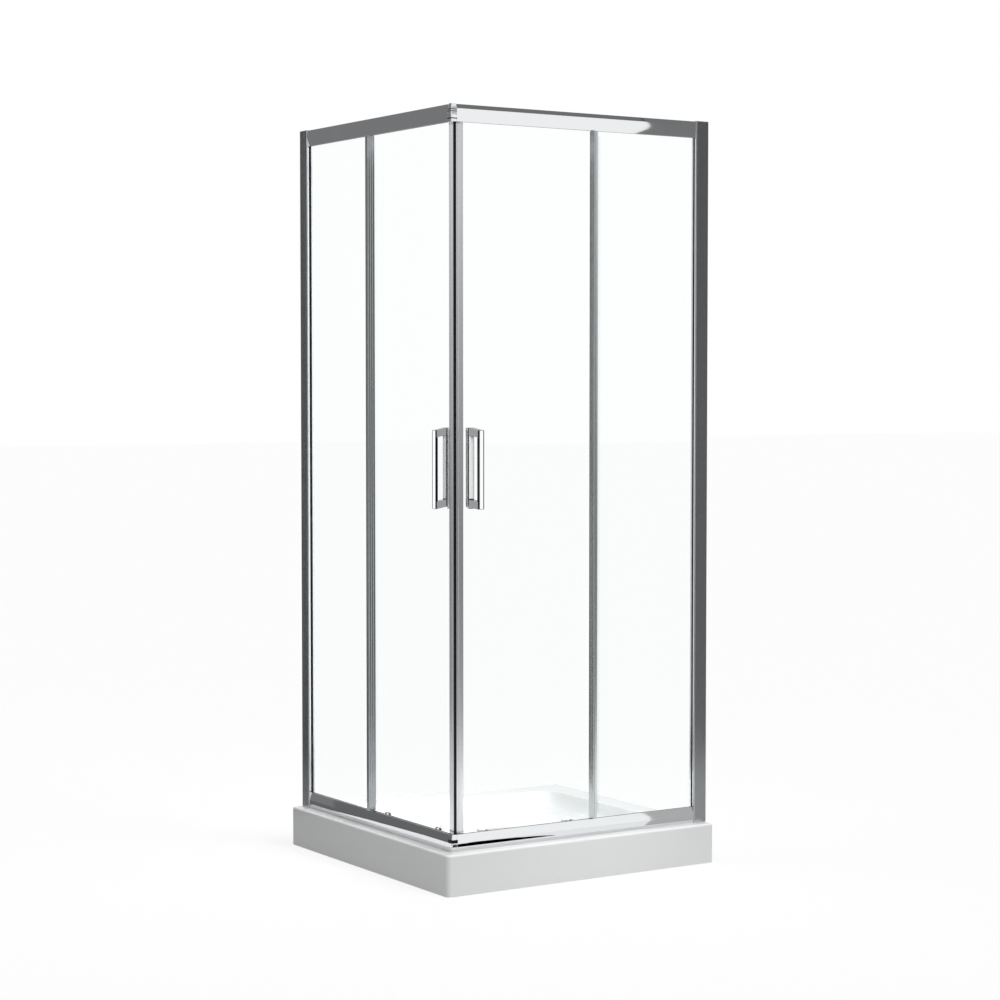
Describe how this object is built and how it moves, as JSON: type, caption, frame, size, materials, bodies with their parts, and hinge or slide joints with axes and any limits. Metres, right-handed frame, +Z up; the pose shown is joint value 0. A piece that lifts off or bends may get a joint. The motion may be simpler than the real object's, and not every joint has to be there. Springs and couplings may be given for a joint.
{
  "type": "shower stall",
  "caption": "Square corner-entry shower stall: a white tray with an upright skirt, clear fixed panels and clear sliding doors in bright metal profiles.",
  "frame": {"origin": "centre of the tray footprint, on the floor", "axes": "+Z up; the entry corner is at -X -Y; the walls stand at +X and +Y, so the right side of the stall faces -Y and the left side faces -X"},
  "size_m": [0.8, 0.8, 1.9035],
  "materials": {
    "tray_acrylic": "moulded white acrylic, gloss",
    "board": "raw chipboard",
    "foot_plastic": "moulded black plastic",
    "zinc_steel": "zinc-plated steel",
    "trap_plastic": "moulded polypropylene",
    "black_rubber": "black rubber",
    "chromed_brass": "polished chrome",
    "bright_aluminium": "polished and bright-anodised",
    "clear_glass": "clear toughened glass",
    "clear_pvc": "clear soft vinyl",
    "chromed_abs": "chromed plastic",
    "magnet_strip": "black magnetic strip",
    "chromed_handle": "polished chrome",
    "carrier_plastic": "moulded white plastic",
    "release_plastic": "moulded white plastic",
    "nylon": "white nylon"
  },
  "bodies": {
    "root": {"tray": "tray_acrylic", "tray_board": "board", "foot_pads": "foot_plastic", "foot_rods": "zinc_steel", "waste_body": "trap_plastic", "waste_seal": "black_rubber", "waste_cover": "chromed_brass", "right_wall_profile": "bright_aluminium", "right_panel_profile": "bright_aluminium", "right_fixed_glass": "clear_glass", "right_glass_gasket": "black_rubber", "right_middle_post": "bright_aluminium", "right_post_seal": "clear_pvc", "right_top_rail": "bright_aluminium", "right_bottom_rail": "bright_aluminium", "left_wall_profile": "bright_aluminium", "left_panel_profile": "bright_aluminium", "left_fixed_glass": "clear_glass", "left_glass_gasket": "black_rubber", "left_middle_post": "bright_aluminium", "left_post_seal": "clear_pvc", "left_top_rail": "bright_aluminium", "left_bottom_rail": "bright_aluminium", "top_corner_joint": "chromed_abs", "bottom_corner_joint": "chromed_abs", "corner_screws": "zinc_steel", "profile_screws": "zinc_steel", "profile_caps": "chromed_abs", "door_stops": "black_rubber"},
    "right_door": {"right_door_glass": "clear_glass", "right_door_stile": "bright_aluminium", "right_magnet_seal": "magnet_strip", "right_tail_seal": "clear_pvc", "right_outer_handle": "chromed_handle", "right_inner_handle": "chromed_handle", "right_handle_bolts": "zinc_steel", "right_top_carriers": "carrier_plastic", "right_bottom_housings": "carrier_plastic"},
    "right_top_wheel_front": {"right_top_wheel_front": "nylon"},
    "right_release_front": {"right_release_front": "release_plastic"},
    "right_low_wheel_front": {"right_low_wheel_front": "nylon"},
    "right_top_wheel_rear": {"right_top_wheel_rear": "nylon"},
    "right_release_rear": {"right_release_rear": "release_plastic"},
    "right_low_wheel_rear": {"right_low_wheel_rear": "nylon"},
    "left_door": {"left_door_glass": "clear_glass", "left_door_stile": "bright_aluminium", "left_magnet_seal": "magnet_strip", "left_tail_seal": "clear_pvc", "left_outer_handle": "chromed_handle", "left_inner_handle": "chromed_handle", "left_handle_bolts": "zinc_steel", "left_top_carriers": "carrier_plastic", "left_bottom_housings": "carrier_plastic"},
    "left_top_wheel_front": {"left_top_wheel_front": "nylon"},
    "left_release_front": {"left_release_front": "release_plastic"},
    "left_low_wheel_front": {"left_low_wheel_front": "nylon"},
    "left_top_wheel_rear": {"left_top_wheel_rear": "nylon"},
    "left_release_rear": {"left_release_rear": "release_plastic"},
    "left_low_wheel_rear": {"left_low_wheel_rear": "nylon"}
  },
  "joints": [
    {"name": "right_door_slide", "type": "slide", "parent": "root", "child": "right_door", "axis": [1, 0, 0], "range_m": [0, 0.305]},
    {"name": "right_top_wheel_front_spin", "type": "hinge", "parent": "right_door", "child": "right_top_wheel_front", "pos_m": [-0.2575, -0.336, 1.8881], "axis": [0, 1, 0], "continuous": true},
    {"name": "right_release_front_press", "type": "slide", "parent": "right_door", "child": "right_release_front", "axis": [0, 0, 1], "range_m": [-0.0035, 0], "stiffness_N_per_m": 800, "springref_m": 0.002},
    {"name": "right_low_wheel_front_spin", "type": "hinge", "parent": "right_release_front", "child": "right_low_wheel_front", "pos_m": [-0.2575, -0.336, 0.1159], "axis": [0, 1, 0], "continuous": true},
    {"name": "right_top_wheel_rear_spin", "type": "hinge", "parent": "right_door", "child": "right_top_wheel_rear", "pos_m": [-0.0085, -0.336, 1.8881], "axis": [0, 1, 0], "continuous": true},
    {"name": "right_release_rear_press", "type": "slide", "parent": "right_door", "child": "right_release_rear", "axis": [0, 0, 1], "range_m": [-0.0035, 0], "stiffness_N_per_m": 800, "springref_m": 0.002},
    {"name": "right_low_wheel_rear_spin", "type": "hinge", "parent": "right_release_rear", "child": "right_low_wheel_rear", "pos_m": [-0.0085, -0.336, 0.1159], "axis": [0, 1, 0], "continuous": true},
    {"name": "left_door_slide", "type": "slide", "parent": "root", "child": "left_door", "axis": [0, 1, 0], "range_m": [0, 0.2935]},
    {"name": "left_top_wheel_front_spin", "type": "hinge", "parent": "left_door", "child": "left_top_wheel_front", "pos_m": [-0.336, -0.2575, 1.8881], "axis": [1, 0, 0], "continuous": true},
    {"name": "left_release_front_press", "type": "slide", "parent": "left_door", "child": "left_release_front", "axis": [0, 0, 1], "range_m": [-0.0035, 0], "stiffness_N_per_m": 800, "springref_m": 0.002},
    {"name": "left_low_wheel_front_spin", "type": "hinge", "parent": "left_release_front", "child": "left_low_wheel_front", "pos_m": [-0.336, -0.2575, 0.1159], "axis": [1, 0, 0], "continuous": true},
    {"name": "left_top_wheel_rear_spin", "type": "hinge", "parent": "left_door", "child": "left_top_wheel_rear", "pos_m": [-0.336, -0.0085, 1.8881], "axis": [1, 0, 0], "continuous": true},
    {"name": "left_release_rear_press", "type": "slide", "parent": "left_door", "child": "left_release_rear", "axis": [0, 0, 1], "range_m": [-0.0035, 0], "stiffness_N_per_m": 800, "springref_m": 0.002},
    {"name": "left_low_wheel_rear_spin", "type": "hinge", "parent": "left_release_rear", "child": "left_low_wheel_rear", "pos_m": [-0.336, -0.0085, 0.1159], "axis": [1, 0, 0], "continuous": true}
  ],
  "couplings": [
    {"joint": "right_top_wheel_front_spin", "follows": "right_door_slide", "rad_per_m": 117.65},
    {"joint": "right_low_wheel_front_spin", "follows": "right_door_slide", "rad_per_m": -117.65},
    {"joint": "right_top_wheel_rear_spin", "follows": "right_door_slide", "rad_per_m": 117.65},
    {"joint": "right_low_wheel_rear_spin", "follows": "right_door_slide", "rad_per_m": -117.65},
    {"joint": "left_top_wheel_front_spin", "follows": "left_door_slide", "rad_per_m": -117.65},
    {"joint": "left_low_wheel_front_spin", "follows": "left_door_slide", "rad_per_m": 117.65},
    {"joint": "left_top_wheel_rear_spin", "follows": "left_door_slide", "rad_per_m": -117.65},
    {"joint": "left_low_wheel_rear_spin", "follows": "left_door_slide", "rad_per_m": 117.65}
  ]
}
